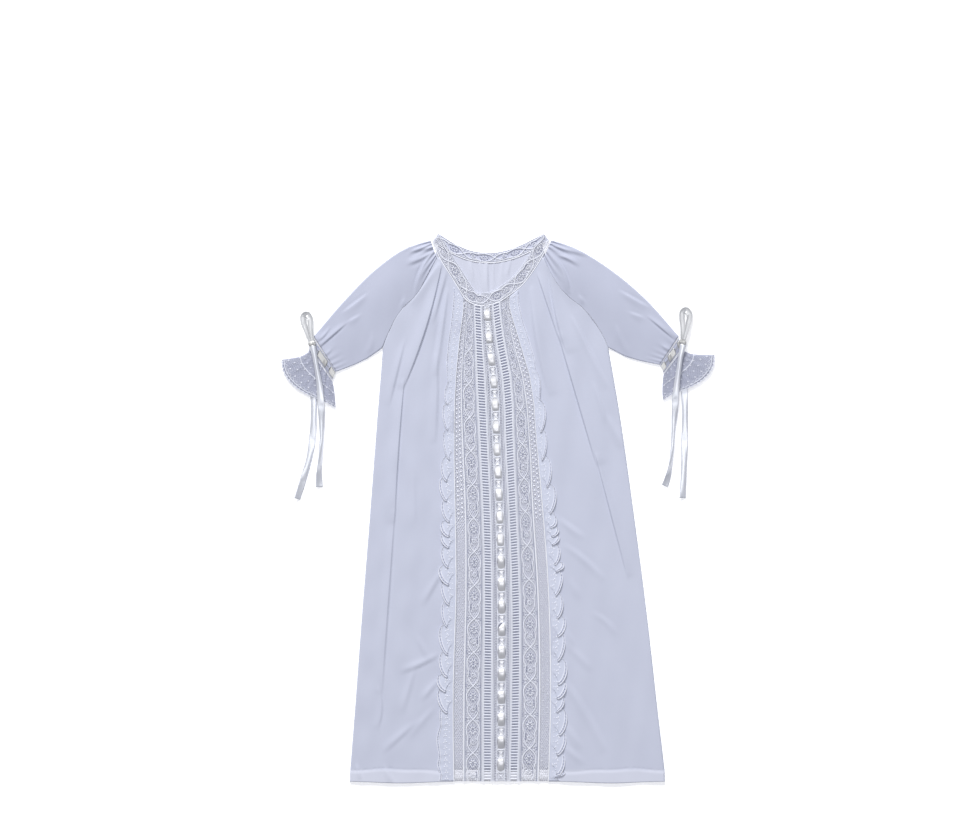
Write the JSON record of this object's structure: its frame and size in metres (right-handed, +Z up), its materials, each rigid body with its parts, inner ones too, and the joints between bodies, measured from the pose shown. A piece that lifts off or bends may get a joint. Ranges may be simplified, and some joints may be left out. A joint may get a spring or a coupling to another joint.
{
  "type": "baby gown",
  "caption": "Long baby gown laid flat: gathered batiste body, lace front panel with woven ribbon, raglan sleeves, ruffles and flounced cuffs with ribbon ties.",
  "frame": {"origin": "middle of the laid-out gown's outline, on the surface it lies on", "axes": "+Y from hem to neck, +Z up from the surface out of the front, +X to the right as seen from above"},
  "size_m": [0.502, 0.635, 0.0091],
  "materials": {
    "batiste": "fine plain weave cotton, soft and slightly sheer",
    "lace": "woven cotton lace with raised cords and floral figures",
    "tulle": "sheer dotted net edging",
    "satin": "narrow satin ribbon with bright sheen"
  },
  "bodies": {
    "root": {"back": "batiste", "front_left": "batiste", "front_right": "batiste", "sleeve_left": "batiste", "sleeve_right": "batiste", "net_left": "lace", "floral_left": "lace", "ladder_left": "lace", "centre_beading": "lace", "ladder_right": "lace", "floral_right": "lace", "net_right": "lace", "neck_band": "lace", "ruffle_left": "lace", "ruffle_right": "lace", "cuff_band_left": "lace", "cuff_band_right": "lace", "cuff_flounce_left": "tulle", "cuff_flounce_right": "tulle", "centre_ribbon": "satin", "cuff_ribbon_left": "satin", "cuff_loop_left": "satin", "cuff_knot_left": "satin", "cuff_tail_over_left": "satin", "cuff_tail_under_left": "satin", "cuff_ribbon_right": "satin", "cuff_loop_right": "satin", "cuff_knot_right": "satin", "cuff_tail_over_right": "satin", "cuff_tail_under_right": "satin"}
  },
  "joints": []
}
